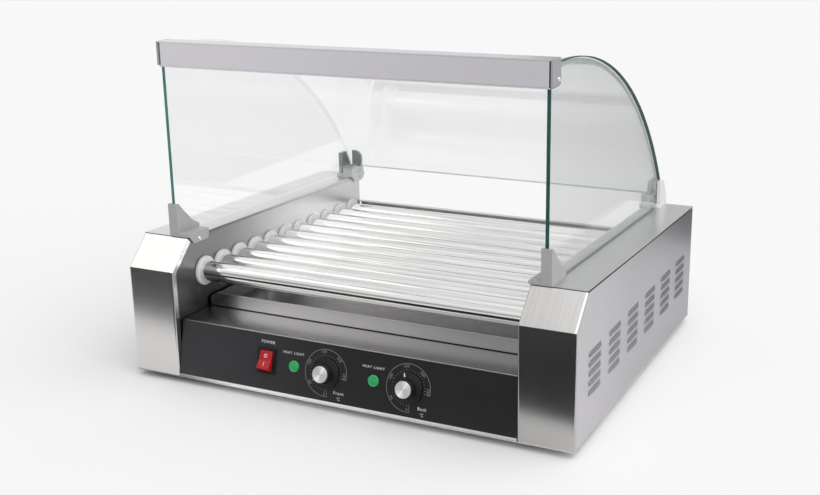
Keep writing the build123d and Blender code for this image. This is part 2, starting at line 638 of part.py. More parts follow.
def front_bracket():
    """Front glass bracket: base on the box's top, two fins with the glass between, and a screwed tab."""
    front, rear = GLASS_FRONT_Y - 3.0, -157.0
    base = [(front, top_z(front)), (front, top_z(front) + BRACKET_PLATE),
            (rear, top_z(rear) + BRACKET_PLATE), (rear, top_z(rear))]
    part = across(base, BRACKET_INNER_X, BRACKET_OUTER_X)
    tip = 215.5
    fin = [(front, top_z(front)), (front, tip), (front + 5, tip), (front + 16, 203.5), (rear - 13, 190.0),
           (rear, 182.6), (rear, top_z(rear))]
    part += across(fin, GLASS_X - 3.4, BRACKET_OUTER_X)
    low = 165.2
    tab = make_face(Polyline([(front + 4, top_z(front)), (front + 12.5, low), (rear - 2, low), (rear, 172),
                              (rear, top_z(rear) + 1), (front + 4, top_z(front) + 1)], close=True))
    tab = fillet(tab.vertices().group_by(Axis.Y)[0], 3.5)
    part += extrude(Plane.YZ.offset(BRACKET_INNER_X) * tab, INNER_X - 0.2 - BRACKET_INNER_X)
    gap = SLOT_GAP
    slot = block(GLASS_X - gap, GLASS_X + GLASS_THICK + gap, GLASS_FRONT_Y - gap, rear + 5, 0, 300)
    part -= slot & across([(front, top_z(front) + BRACKET_PLATE), (front, 300), (0, 300),
                           (0, top_z(0) + BRACKET_PLATE)], 200, 260)
    return part


def rear_bracket():
    """Rear glass bracket: outer fin, block and ear for the curved glass, and a round tab."""
    front, rear, tip = 203.0, 241.0, 196.0
    base = [(front, top_z(front)), (front, top_z(front) + BRACKET_PLATE),
            (rear, top_z(rear) + BRACKET_PLATE), (rear, top_z(rear))]
    part = across(base, BRACKET_INNER_X, BRACKET_OUTER_X)
    fin_x = GLASS_X + GLASS_THICK + SLOT_GAP
    fin = across([(front + 7, top_z(front)), (front + 7, tip), (rear, tip), (rear, top_z(rear) + 1)],
                 fin_x, BRACKET_OUTER_X)
    part += fin & arc_disc(SIDE_GLASS_R + 1.2, fin_x, BRACKET_OUTER_X)
    ear_x, block_x = BRACKET_INNER_X + 1.5, GLASS_X - SLOT_GAP
    seat, lip = CURVED_BOTTOM_Z, CURVED_BOTTOM_Z + 3
    part += block(ear_x, block_x, front + 3, rear, top_z(front), seat)
    part += block(ear_x, block_x, front + 3, front + 19, seat, lip)
    part -= block(ear_x + 2.5, block_x - 3, front + 7, front + 16, seat - 4, lip + 1)
    part += rear_ear(ear_x, block_x, seat, tip)
    tab = make_face(Polyline([(front, top_z(front) + 1), (front + 9, 153), (rear - 8, 153), (rear, 160),
                              (rear, top_z(rear) + 2)], close=True))
    tab = fillet(tab.vertices().group_by(Axis.Y)[0], 7.0)
    part += extrude(Plane.YZ.offset(BRACKET_INNER_X) * tab, INNER_X - 0.2 - BRACKET_INNER_X)
    return part - disc(*REAR_SCREW, 2.0, BRACKET_INNER_X - 1, INNER_X)


def rear_ear(x0, x1, z0, z1):
    """Upright plate behind the curved glass, round at its inner top corner."""
    front = ARC_Y + sqrt(CURVED_R**2 - (CURVED_BOTTOM_Z - ARC_Z)**2) + 0.6
    ear = block(x0, x1, front, front + 3.5, z0, z1)
    return fillet(ear.edges().filter_by(Axis.Y).group_by(Axis.Z)[-1].sort_by(Axis.X)[0], 11.0)


def bracket_screws():
    """Screws through the bracket tabs: pan heads in front, sunk heads at the rear."""
    front = left(screw(*FRONT_SCREW, -BRACKET_INNER_X, 2.9, 1.6))
    rear = disc(*REAR_SCREW, 1.9, BRACKET_INNER_X + 1.2, INNER_X)
    return Compound([front.solid(), left(front).solid(), rear.solid(), left(rear).solid()])


# ---- fasteners and feet ----
def housing_screws():
    """Screws in the rear edges of the side covers and along the rear panel."""
    heads = []
    for x, z in ((275, 30), (275, 85), (275, 140), (210, 30), (210, 100), (70, 100)):
        for side in (-1, 1):
            plane = Plane(origin=(side * x, REAR_Y, z), x_dir=(1, 0, 0), z_dir=(0, 1, 0))
            head = stud(plane, 0, 0, 0, 1.8, 3.4)
            heads.append(fillet(head.edges().sort_by(Axis.Y)[-1], 1.0).solid())
    return Compound(heads)


def rubber_feet():
    """Four round feet under the base pan."""
    feet = []
    for x in (-240, 240):
        for y in (-188, 188):
            feet.append((Pos(x, y, 0) * Cone(13.5, 16, FOOT_HEIGHT, align=STANDING)).solid())
    return Compound(feet)


def nodes():
    """Every sub-part by name."""
    parts = {
        "base_pan": base_pan(), "rear_panel": rear_panel(), "control_housing": control_housing(),
        "control_fascia": control_fascia(), "switch_bezel": switch_bezel(), "power_rocker": rocker(),
        "heating_elements": heating_elements(), "drive_chain": drive_chain(), "gear_motor": gear_motor(),
        "motor_bracket": motor_bracket(), "motor_sprocket": motor_sprocket(),
        "terminal_block": terminal_block(), "cord_gland": cord_gland(), "rubber_feet": rubber_feet(),
        "tray_rails": tray_rails(), "drip_tray": drip_tray(), "curved_glass": curved_glass(),
        "hood_bar": hood_bar(), "hood_bar_face": bar_face(), "hood_bar_caps": bar_end_caps(),
        "hood_bar_screws": bar_screws(), "bracket_screws": bracket_screws(),
        "housing_screws": housing_screws(),
    }
    handed = {
        "inner_panel": inner_panel(), "front_cover": front_cover(), "side_cover": side_cover(),
        "roller_bushings": bushings(), "element_bar": element_bar(), "side_glass": side_glass(),
        "front_bracket": front_bracket(), "rear_bracket": rear_bracket(),
    }
    for name, part in handed.items():
        parts["right_" + name] = part
        parts["left_" + name] = left(part)
    for place, number in (("front", 0), ("back", 1)):
        parts[place + "_heat_light"] = heat_light(LAMP_X[number])
        parts[place + "_thermostat"] = thermostat(DIAL_X[number])
        parts[place + "_knob"] = knob(DIAL_X[number], DIAL_REST[number])
        parts[place + "_knob_cap"] = knob_cap(DIAL_X[number])
    for number in range(ROLLERS):
        parts[f"roller_{number + 1:02d}"] = roller(number)
    return parts


os.makedirs("parts", exist_ok=True)
for node, shape in nodes().items():
    export_step(shape, f"parts/{node}.step")
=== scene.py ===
"""Looks of the hot dog roller grill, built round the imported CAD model."""
from math import cos, pi, radians, sin

import bmesh
import bpy
from mathutils import Matrix, Vector


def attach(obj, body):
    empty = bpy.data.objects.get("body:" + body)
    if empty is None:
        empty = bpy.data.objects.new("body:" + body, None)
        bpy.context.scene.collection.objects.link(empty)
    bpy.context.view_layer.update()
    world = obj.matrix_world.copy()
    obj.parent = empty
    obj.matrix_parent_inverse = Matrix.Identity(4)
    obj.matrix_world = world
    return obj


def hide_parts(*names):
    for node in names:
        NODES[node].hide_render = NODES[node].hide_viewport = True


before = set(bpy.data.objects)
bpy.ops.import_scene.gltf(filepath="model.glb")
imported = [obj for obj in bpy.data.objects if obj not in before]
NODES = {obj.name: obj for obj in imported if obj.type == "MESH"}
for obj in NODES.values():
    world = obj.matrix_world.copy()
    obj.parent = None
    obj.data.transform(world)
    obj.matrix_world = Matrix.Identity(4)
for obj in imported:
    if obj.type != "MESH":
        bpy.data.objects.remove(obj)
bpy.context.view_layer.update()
SCENE = bpy.context.scene
MM = 0.001

# The same dimensions as part.py, in millimetres.
HALF_WIDTH, FRONT_Y, REAR_Y = 285.0, -233.5, 233.5
CREST_Y, CREST_Z, TOP_REAR_Z = -198.0, 175.4, 161.2
FASCIA_BOTTOM_Z, FASCIA_UP = 12.6, Vector((0, 15.0, 65.6)).normalized()
FASCIA_OUT = Vector((0, -FASCIA_UP.z, FASCIA_UP.y))
DIAL_X, DIAL_UP = (-16.9, 89.2), 32.7
LAMP_X, LAMP_UP = (-59.5, 45.3), 33.7
ROCKER_X, ROCKER_UP = -97.3, 34.5
# places on the rocker's front: up from its middle, and out from the fascia
ROCKER_TOP, ROCKER_FOLD, ROCKER_NOSE = (14.0, 1.6), (1.0, 5.0), (-8.0, 10.0)
KNOB_HEIGHT = 14.1
LOUVRE_COLUMNS, LOUVRE_ROWS = 6, 5
LOUVRE_FIRST_Y, LOUVRE_PITCH_Y, LOUVRE_LENGTH = -189.6, 69.0, 40.1
LOUVRE_TOP_Z, LOUVRE_PITCH_Z = 105.5, 11.0

# The pressed shape of the louvres, in millimetres.
LOUVRE_OPENING = 7.0        # height of the hole in the sheet
LOUVRE_SLOPE, LOUVRE_DROP, LOUVRE_PROUD = 4.2, 5.8, 2.35
LOUVRE_STEPS = 14

DIAL_TURN = (124.6, 15.0)                               # degrees, anticlockwise from the top
DIAL_SCALE = (-180, -124.6, -67.3, -10.6, 42.7, 91.0)   # degrees, clockwise, at 0, 50 and on to 250
PRINT_RISE = 0.04           # printing and marks stand this far off their surface, in millimetres

# Half outlines of the turned pieces: (radius, height over the fascia), in millimetres.
KNOB_PROFILE = [(0, 0.9), (18.0, 0.9), (18.4, 1.2), (18.4, 2.7), (18.1, 3.2), (17.4, 3.55), (15.5, 3.75),
                (15.1, 4.3), (14.4, 4.5), (13.2, 4.6), (12.7, 4.9), (12.45, 5.6), (11.3, 12.0), (10.9, 12.8),
                (10.4, 13.3), (9.9, 13.5), (9.8, 13.25), (0, 13.25)]
SHAFT_PROFILE = [(0, -11), (3.0, -11), (3.0, 1.0), (0, 1.0)]
CAP_PROFILE = [(0, 13.3), (9.65, 13.3), (9.7, 13.45), (9.6, 13.9), (9.3, 14.1), (8.7, 14.02), (0, 13.95)]
LAMP_PROFILE = [(0, -18), (5.0, -18), (5.0, 0.0), (6.9, 0.0), (6.9, 0.7), (6.6, 1.5), (6.0, 2.0), (5.3, 2.1),
                (4.9, 1.75), (4.6, 1.7), (3.4, 2.1), (1.8, 2.35), (0, 2.4)]


# ---- camera ----
CAMERA_PLACE = (0.659441, -1.328022, 0.576607)
CAMERA_AZIMUTH, CAMERA_ELEVATION, CAMERA_ROLL = 27.1308, 16.5915, -1.13738
CAMERA_LENS, CAMERA_SENSOR = 53.12, 36


def make_camera():
    az, el, roll = radians(CAMERA_AZIMUTH), radians(CAMERA_ELEVATION), radians(CAMERA_ROLL)
    back = Vector((sin(az) * cos(el), -cos(az) * cos(el), sin(el)))
    right = Vector((cos(az), sin(az), 0))
    up = back.cross(right)
    x = cos(roll) * right + sin(roll) * up
    y = cos(roll) * up - sin(roll) * right
    data = bpy.data.cameras.new("camera")
    data.sensor_width = CAMERA_SENSOR
    data.lens = CAMERA_LENS
    camera = bpy.data.objects.new("camera", data)
    SCENE.collection.objects.link(camera)
    rotation = Matrix((x, y, back)).transposed().to_4x4()
    camera.matrix_world = Matrix.Translation(CAMERA_PLACE) @ rotation
    SCENE.camera = camera


# ---- materials ----
class Shade:
    """A procedural material round one Principled shader."""

    def __init__(self, name, color, roughness, metallic=0.0, **sockets):
        self.mat = bpy.data.materials.new(name)
        self.mat.use_nodes = True
        self.tree = self.mat.node_tree
        self.bsdf = self.tree.nodes["Principled BSDF"]
        self.set("Base Color", (*color, 1))
        self.set("Roughness", roughness)
        self.set("Metallic", metallic)
        for key, value in sockets.items():
            self.set(key.replace("_", " "), value)

    def set(self, socket, value):
        self.bsdf.inputs[socket].default_value = value

    def node(self, kind, inputs=(), **settings):
        made = self.tree.nodes.new(kind)
        for key, value in settings.items():
            setattr(made, key, value)
        for key, value in dict(inputs).items():
            if isinstance(value, bpy.types.NodeSocket):
                self.tree.links.new(value, made.inputs[key])
            else:
                made.inputs[key].default_value = value
        return made

    def coords(self):
        """Object coordinates, which are the frame's own metres."""
        return self.node("ShaderNodeTexCoord").outputs["Object"]

    def parts(self, vector):
        return self.node("ShaderNodeSeparateXYZ", {0: vector}).outputs

    def facing(self):
        """The X, Y and Z of the surface's normal."""
        return self.parts(self.node("ShaderNodeNewGeometry").outputs["Normal"])

    def join(self, x, y=0.0):
        return self.node("ShaderNodeCombineXYZ", {0: x, 1: y}).outputs[0]

    def place(self, scale=(1, 1, 1)):
        """Object coordinates, scaled."""
        return self.node("ShaderNodeMapping", {"Vector": self.coords(), "Scale": scale}).outputs["Vector"]

    def noise(self, scale=(1, 1, 1), detail=3.0, roughness=0.6, vector=None):
        vector = self.place(scale) if vector is None else vector
        return self.node("ShaderNodeTexNoise", {"Vector": vector, "Scale": 1.0, "Detail": detail,
                                                "Roughness": roughness}).outputs["Fac"]

    def span(self, value, low, high, start=0.3, end=0.7):
        """value, mapped from start..end to low..high."""
        return self.node("ShaderNodeMapRange", {0: value, 1: start, 2: end, 3: low, 4: high}).outputs[0]

    def math(self, operation, a, b=0.0):
        return self.node("ShaderNodeMath", {0: a, 1: b}, operation=operation).outputs[0]

    def vector_math(self, operation, a, b=(0, 0, 0), output="Vector"):
        return self.node("ShaderNodeVectorMath", {0: a, 1: b}, operation=operation).outputs[output]

    def blend(self, a, b, share):
        """share of the number a, and the rest of b."""
        rest = round(1 - share, 6)
        return self.math("ADD", self.math("MULTIPLY", a, share), self.math("MULTIPLY", b, rest))

    def tint(self, factor, first, second):
        """Base colour, mixed between two colours."""
        mix = self.node("ShaderNodeMix", data_type="RGBA")
        self.tree.links.new(factor, mix.inputs[0])
        mix.inputs[6].default_value = (*first, 1)
        mix.inputs[7].default_value = (*second, 1)
        self.tree.links.new(mix.outputs[2], self.bsdf.inputs["Base Color"])

    def fade(self, axis, start, end, low, high, spared=None):
        """Multiplies the base colour by low..high between two places along an axis, in metres.

        Faces that look along the spared axis keep their colour."""
        place = self.parts(self.coords())[axis]
        share = self.node("ShaderNodeMapRange", {0: place, 1: start, 2: end, 3: low, 4: high},
                          interpolation_type="SMOOTHSTEP").outputs[0]
        if spared:
            share = self.math("MAXIMUM", share, self.math("GREATER_THAN", self.facing()[spared], 0.7))
        color = self.bsdf.inputs["Base Color"]
        mix = self.node("ShaderNodeMix", {0: 1.0, 6: color.links[0].from_socket, 7: share},
                        data_type="RGBA", blend_type="MULTIPLY")
        self.tree.links.new(mix.outputs[2], color)

    def rough(self, value):
        self.tree.links.new(value, self.bsdf.inputs["Roughness"])

    def bump(self, height, strength, distance):
        made = self.node("ShaderNodeBump", {"Height": height, "Strength": strength, "Distance": distance})
        self.tree.links.new(made.outputs[0], self.bsdf.inputs["Normal"])

    def across(self, direction):
        """Where on the surface a point is, across a grain and along it."""
        parts = self.parts(self.coords())
        if direction == "vertical":
            return parts["X"], parts["Z"]
        upward = self.math("GREATER_THAN", self.math("ABSOLUTE", self.facing()["Z"]), 0.7)
        mix = self.node("ShaderNodeMix", {0: upward, 2: parts["Z"], 3: parts["Y"]})
        return mix.outputs[0], parts["X"]


def scaled(color, factor):
    return tuple(min(1.0, channel * factor) for channel in color)


def brushed(name, color, roughness, direction, contrast=0.10, strength=0.05, fades=()):
    """Brushed sheet: fine lines along the grain, with broader bands and faint blotches."""
    shade = Shade(name, color, roughness, 1.0)
    across, along = shade.across(direction)
    fine = shade.join(shade.math("MULTIPLY", across, 2600.0), shade.math("MULTIPLY", along, 9.0))
    broad = shade.join(shade.math("MULTIPLY", across, 320.0), shade.math("MULTIPLY", along, 3.0))
    lines = shade.noise(vector=fine, detail=4.0, roughness=0.7)
    bands = shade.noise(vector=broad, detail=3.0)
    blotch = shade.noise((14, 14, 14), detail=4.0)
    both = shade.blend(shade.blend(lines, bands, 0.55), blotch, 0.75)
    shade.tint(shade.span(both, 0, 1, 0.35, 0.65), scaled(color, 1 - contrast), scaled(color, 1 + contrast))
    for fade in fades:
        shade.fade(*fade)
    shade.rough(shade.span(both, roughness - 0.4 * contrast, roughness + 0.5 * contrast))
    shade.bump(lines, strength, 0.0002)
    return shade.mat


def moulded(name, color, roughness, grain=900.0, strength=0.08, contrast=0.06, fades=(), **sockets):
    """Moulded plastic: a fine skin and a little unevenness of colour and gloss."""
    shade = Shade(name, color, roughness, **sockets)
    skin = shade.noise((grain, grain, grain), detail=2.0)
    cloud = shade.noise((35, 35, 35), detail=4.0)
    shade.tint(cloud, scaled(color, 1 - contrast), scaled(color, 1 + contrast))
    for fade in fades:
        shade.fade(*fade)
    shade.rough(shade.span(cloud, roughness - 0.05, roughness + 0.06))
    shade.bump(skin, strength, 0.0001)
    return shade.mat


def polished_tube(name):
    """Mirror-polished tube: faint lines round it and light marks of use along it."""
    shade = Shade(name, (0.80, 0.79, 0.78), 0.09, 1.0)
    rings = shade.noise((1500, 2, 2), detail=3.0)
    streaks = shade.noise((7, 420, 420), detail=4.0)
    cloud = shade.noise((9, 60, 60), detail=3.0)
    shade.tint(shade.span(streaks, 0, 1), (0.66, 0.65, 0.64), (0.86, 0.855, 0.85))
    shade.rough(shade.span(shade.blend(rings, cloud, 0.5), 0.05, 0.17))
    shade.bump(rings, 0.03, 0.0001)
    return shade.mat


def clear_glass(name, cut_edges, edge, margin=None, foot=0.0):
    """Clear pane whose faces mirror a little and whose cut edges show the green of the glass.

    cut_edges says where those edges look: "sideways", "forwards", or "around" the pane. Beyond the arc
    of a margin (y, z, radius) and below the height of a foot the pane is as green as its edge. Metres."""
    shade = Shade(name, edge, 0.4, Specular_IOR_Level=0.15)
    cloud = shade.noise((60, 60, 60), detail=3.0)
    shade.tint(cloud, scaled(edge, 0.7), scaled(edge, 1.35))

    smear = shade.noise((18, 18, 5), detail=5.0)
    clear = shade.node("ShaderNodeBsdfTransparent", {"Color": (0.984, 0.988, 0.985, 1)})
    gloss = shade.node("ShaderNodeBsdfGlossy", {"Color": (1, 1, 1, 1),
                                                "Roughness": shade.span(smear, 0.0, 0.06)})
    haze = shade.node("ShaderNodeBsdfDiffuse", {"Color": (0.9, 0.92, 0.92, 1)})
    # Schlick's rule for glass: it mirrors 4% looking straight through, and all of it when grazing
    grazing = shade.math("POWER", shade.node("ShaderNodeLayerWeight", {"Blend": 0.5}).outputs["Facing"], 5.0)
    mirror = shade.math("ADD", shade.math("MULTIPLY", grazing, 0.96), 0.04)
    pane = shade.node("ShaderNodeMixShader", {0: mirror, 1: clear.outputs[0], 2: gloss.outputs[0]})
    pane = shade.node("ShaderNodeMixShader", {0: shade.span(smear, 0.004, 0.02), 1: pane.outputs[0],
                                              2: haze.outputs[0]})

    facing = shade.facing()
    if cut_edges == "forwards":
        cut = shade.math("LESS_THAN", facing["Y"], -0.7)
    else:
        sideways = shade.math("ABSOLUTE", facing["X"])
        cut = shade.math("GREATER_THAN" if cut_edges == "sideways" else "LESS_THAN", sideways, 0.5)
    inside = shade.node("ShaderNodeNewGeometry").outputs["Backfacing"]
    mask = shade.math("MULTIPLY", cut, shade.math("SUBTRACT", 1.0, inside))
    if margin:
        middle_y, middle_z, radius = margin
        flat = shade.vector_math("MULTIPLY", shade.coords(), (0, 1, 1))
        reach = shade.vector_math("DISTANCE", flat, (0, middle_y, middle_z), "Value")
        mask = shade.math("MAXIMUM", mask, shade.math("GREATER_THAN", reach, radius))
    if foot:
        height = shade.parts(shade.coords())["Z"]
        mask = shade.math("MAXIMUM", mask, shade.math("LESS_THAN", height, foot))
    both = shade.node("ShaderNodeMixShader", {0: mask, 1: pane.outputs[0], 2: shade.bsdf.outputs[0]})
    out = next(node for node in shade.tree.nodes if node.type == "OUTPUT_MATERIAL")
    shade.tree.links.new(both.outputs[0], out.inputs["Surface"])
    return shade.mat


def spun_cap(name, x, height):
    """Aluminium disc: spun lines round its middle in its roughness and bumps, and in its base colour a
    painted highlight in bright and dark sectors, mixed with random tone.
    """
    shade = Shade(name, (0.86, 0.86, 0.87), 0.28, 0.2)
    offset = shade.vector_math("SUBTRACT", shade.coords(), plane_point(x, height, KNOB_HEIGHT))
    side = shade.vector_math("DOT_PRODUCT", offset, (1, 0, 0), "Value")
    rise = shade.vector_math("DOT_PRODUCT", offset, FASCIA_UP, "Value")
    angle = shade.math("ARCTAN2", rise, side)
    # painted highlight: two bright sectors and two dark ones, fixed to the disc
    highlight_lobes = shade.math("ABSOLUTE", shade.math("COSINE", shade.math("ADD", angle, 0.55)))
    painted_highlight = shade.math("POWER", highlight_lobes, 0.7)
    circle = shade.join(shade.math("MULTIPLY", shade.math("COSINE", angle), 3.0),
                        shade.math("MULTIPLY", shade.math("SINE", angle), 3.0))
    fan = shade.noise(vector=circle, detail=5.0)
    distance = shade.vector_math("LENGTH", offset, output="Value")
    rings = shade.noise(vector=shade.join(shade.math("MULTIPLY", distance, 5200.0)), detail=2.0)
    highlight_and_tone = shade.blend(painted_highlight, fan, 0.55)
    shade.tint(shade.span(highlight_and_tone, 0, 1, 0.28, 0.72), (0.98, 0.98, 0.99), (0.55, 0.55, 0.56))
    shade.rough(shade.span(rings, 0.22, 0.34))
    shade.bump(rings, 0.12, 0.0001)
    return shade.mat


def lens(name):
    """Green lamp lens with a faceted inside."""
    shade = Shade(name, (0.02, 0.42, 0.13), 0.22, Coat_Weight=0.25, Coat_Roughness=0.08)
    facets = shade.node("ShaderNodeTexVoronoi", {"Vector": shade.place((900, 900, 900)), "Scale": 1.0})
    shade.tint(facets.outputs["Distance"], (0.008, 0.27, 0.07), (0.03, 0.42, 0.14))
    shade.bump(facets.outputs["Distance"], 0.15, 0.0002)
    return shade.mat


# ---- mesh helpers ----
def plane_point(x, up, out):
    """A point on the sloping fascia, in metres: x to the side, up its slope, and out from it."""
    base = Vector((x, FRONT_Y, FASCIA_BOTTOM_Z))
    return (base + up * FASCIA_UP + out * FASCIA_OUT) * MM


def plane_matrix(x, up, turn=0.0):
    """From local millimetres on the fascia to metres in the row frame. turn is counter-clockwise."""
    rotation = Matrix((Vector((1, 0, 0)), FASCIA_UP, FASCIA_OUT)).transposed().to_4x4()
    return Matrix.Translation(plane_point(x, up, 0)) @ rotation @ Matrix.Rotation(radians(turn), 4, "Z") \
        @ Matrix.Scale(MM, 4)


def piece(name, mesh, body, material, *nodes, slot=None, smooth=35):
    """A finished piece on its body, standing for the CAD nodes named."""
    obj = bpy.data.objects.new(name, mesh)
    SCENE.collection.objects.link(obj)
    mesh.materials.clear()
    mesh.materials.append(material)
    if smooth:
        mesh.polygons.foreach_set("use_smooth", [True] * len(mesh.polygons))
        mesh.set_sharp_from_angle(angle=radians(smooth))
    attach(obj, body)
    if nodes:
        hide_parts(*nodes)
    return obj


def to_mesh(name, bm):
    """A mesh with its faces turned outwards. It uses up the bmesh."""
    bmesh.ops.recalc_face_normals(bm, faces=bm.faces)
    mesh = bpy.data.meshes.new(name)
    bm.to_mesh(mesh)
    bm.free()
    return mesh


def lathe(bm, profile, matrix, steps=72):
    """Turn an (r, z) profile that starts and ends on the axis, or closes on itself, about local Z."""
    rings = []
    for r, z in profile:
        if r < 1e-6:
            rings.append([bm.verts.new(matrix @ Vector((0, 0, z)))])
        else:
            turns = [2 * pi * i / steps for i in range(steps)]
            rings.append([bm.verts.new(matrix @ Vector((r * cos(a), r * sin(a), z))) for a in turns])
    for low, high in zip(rings, rings[1:]):
        for i in range(steps):
            j = (i + 1) % steps
            corners = [low[i % len(low)], low[j % len(low)], high[j % len(high)], high[i % len(high)]]
            kept = [v for k, v in enumerate(corners) if v not in corners[:k]]
            bm.faces.new(kept)


def soften(node, width, segments=2, angle=35):
    """Rounds a CAD node's sharp edges a little, without moving its vertices."""
    obj = NODES[node]
    weld = obj.modifiers.new("weld", "WELD")
    weld.merge_threshold = 1e-6
    bevel = obj.modifiers.new("bevel", "BEVEL")
    bevel.width = width * MM
    bevel.segments = segments
    bevel.limit_method = "ANGLE"
    bevel.angle_limit = radians(angle)
    bevel.harden_normals = True


def dress(material, *nodes):
    """Gives CAD nodes that are shown as they are their material."""
    for node in nodes:
        mesh = NODES[node].data
        mesh.materials.clear()
        mesh.materials.append(material)


def sides(name):
    return "left_" + name, "right_" + name


make_camera()

# The fades (axis, start, end, low, high, and on some a spared axis) are painted shade and painted light: they
# darken or lighten a sheet's base colour along the model's axes where its surroundings would shade it or show
# in it. They are fixed to the model, so they are part of its base colours in every light.
# Front covers: painted shade, darker towards the right end.
STAINLESS_FRONT = brushed("brushed_stainless_front", (0.72, 0.71, 0.70), 0.22, "vertical", 0.075,
                          fades=[("X", 0.10, 0.22, 1.0, 0.70)])
# Control housing, base pan and rails: painted shade, dark at the left end and darker towards the right end;
# painted light along the bottom strip.
STAINLESS_FLAT = brushed("brushed_stainless_flat", (0.58, 0.57, 0.56), 0.26, "horizontal", 0.03, 0.02,
                         fades=[("X", -0.225, -0.130, 0.33, 1.0), ("X", -0.10, 0.22, 1.0, 0.70),
                                ("Z", 0.0124, 0.0165, 1.7, 1.0)])
# Drip tray: painted shade at its left end, and a painted reflection, lighter to the left and darker to the
# right.
STAINLESS_TRAY = brushed("brushed_stainless_tray", (0.72, 0.71, 0.725), 0.20, "horizontal", 0.03, 0.02,
                         fades=[("X", -0.20, -0.175, 0.36, 1.0), ("X", -0.175, 0.20, 1.35, 0.85)])
# Inner panels: painted shade on their walls, darker towards the front and towards the bottom; their top faces
# keep their colour.
STAINLESS_INNER = brushed("brushed_stainless_inner", (0.62, 0.62, 0.63), 0.30, "horizontal", 0.06,
                          fades=[("Y", -0.16, 0.12, 0.27, 1.02, "Z"), ("Z", 0.08, 0.17, 0.75, 1.1, "Z")])
# Side covers: painted shade, darker towards the rear and in a narrow dark strip along the rear edge.
STAINLESS_SIDE = brushed("satin_stainless_side", (0.60, 0.585, 0.61), 0.36, "horizontal", 0.04, 0.03,
                         fades=[("Y", -0.22, 0.02, 0.93, 0.74, "Y"), ("Y", 0.0, 0.2335, 1.0, 0.84, "Y"),
                                ("Y", 0.2300, 0.2335, 1.0, 0.45, "Y")])
# Louvres: a darker copy of the side covers' steel, painted shade on their slopes, and darker still towards
# the rear.
STAINLESS_LOUVRE_SHADE = brushed("satin_stainless_louvre_shade", (0.36, 0.35, 0.37), 0.36, "horizontal", 0.04, 0.03,
                           fades=[("Y", -0.22, 0.2335, 0.95, 0.66)])
STAINLESS_REAR = brushed("brushed_stainless_rear", (0.64, 0.63, 0.625), 0.42, "horizontal", 0.03, 0.02)
# Hood bar: painted shade, darker towards the right end.
ALUMINIUM_BAR = brushed("satin_aluminium_bar", (0.67, 0.655, 0.69), 0.26, "horizontal", 0.03, 0.02,
                        fades=[("X", -0.24, 0.25, 1.0, 0.83)])
ZINC = brushed("zinc_steel", (0.50, 0.50, 0.48), 0.42, "horizontal", 0.12)
SHEATH = brushed("element_sheath", (0.32, 0.30, 0.29), 0.50, "horizontal", 0.2)
TUBE = polished_tube("polished_tube")
SCREW = brushed("bright_screw", (0.72, 0.72, 0.72), 0.22, "horizontal", 0.10)
# Brackets: painted light, lighter towards the rear, so the rear brackets are lighter than the front ones.
GREY_PLASTIC = moulded("grey_bracket_plastic", (0.42, 0.42, 0.425), 0.40,
                       fades=[("Y", -0.15, 0.20, 0.92, 1.8)])
# Left rear bracket: a darker, greener copy of the bracket plastic, painted shade with the painted green of
# the glass before it, darker still towards its top.
SHADED_PLASTIC = moulded("shaded_bracket_plastic", (0.56, 0.60, 0.60), 0.40,
                         fades=[("Z", 0.170, 0.182, 1.0, 0.42)])
CAP_PLASTIC = moulded("grey_cap_plastic", (0.34, 0.335, 0.345), 0.42)
BUSHING_PLASTIC = moulded("bushing_plastic", (0.66, 0.66, 0.69), 0.40, strength=0.05)
BLACK_PLASTIC = moulded("black_plastic", (0.008, 0.008, 0.010), 0.32, strength=0.05, contrast=0.25,
                        Specular_IOR_Level=0.28)
# Fascia: a painted reflection, lighter at its left end and darker towards its right.
FASCIA_BLACK = moulded("fascia_black", (0.026, 0.026, 0.029), 0.42, grain=1500.0, strength=0.10,
                       contrast=0.15, fades=[("X", -0.20, 0.06, 1.2, 0.35)], Specular_IOR_Level=0.32)
RED_PLASTIC = moulded("red_rocker", (0.42, 0.012, 0.014), 0.30, strength=0.03, Specular_IOR_Level=0.3)
PRINT_WHITE = moulded("white_print", (0.88, 0.88, 0.88), 0.55, strength=0.02)
PRINT_FAINT = moulded("faint_print", (0.20, 0.20, 0.205), 0.55, strength=0.02)
MARK_WHITE = moulded("white_mark", (0.85, 0.85, 0.85), 0.45, strength=0.02)
MOTOR_PAINT = moulded("motor_paint", (0.16, 0.165, 0.18), 0.45)
CERAMIC = moulded("terminal_ceramic", (0.80, 0.77, 0.70), 0.60, contrast=0.1)
RUBBER = moulded("foot_rubber", (0.02, 0.02, 0.02), 0.75, strength=0.2, contrast=0.2)
GREEN_LENS = lens("green_lens")
# The three panes are one glass; their edge colours differ as light falls on them: painted shade makes the
# right pane's edges dark green, painted light makes the left pane's lighter and the curved pane's pale.
RIGHT_GLASS = clear_glass("right_glass", "around", (0.018, 0.078, 0.070), margin=(-0.155, -0.0425, 0.4470))
LEFT_GLASS = clear_glass("left_glass", "forwards", (0.06, 0.19, 0.18))
CURVED_GLASS = clear_glass("curved_glass", "sideways", (0.60, 0.68, 0.66), foot=0.17495)


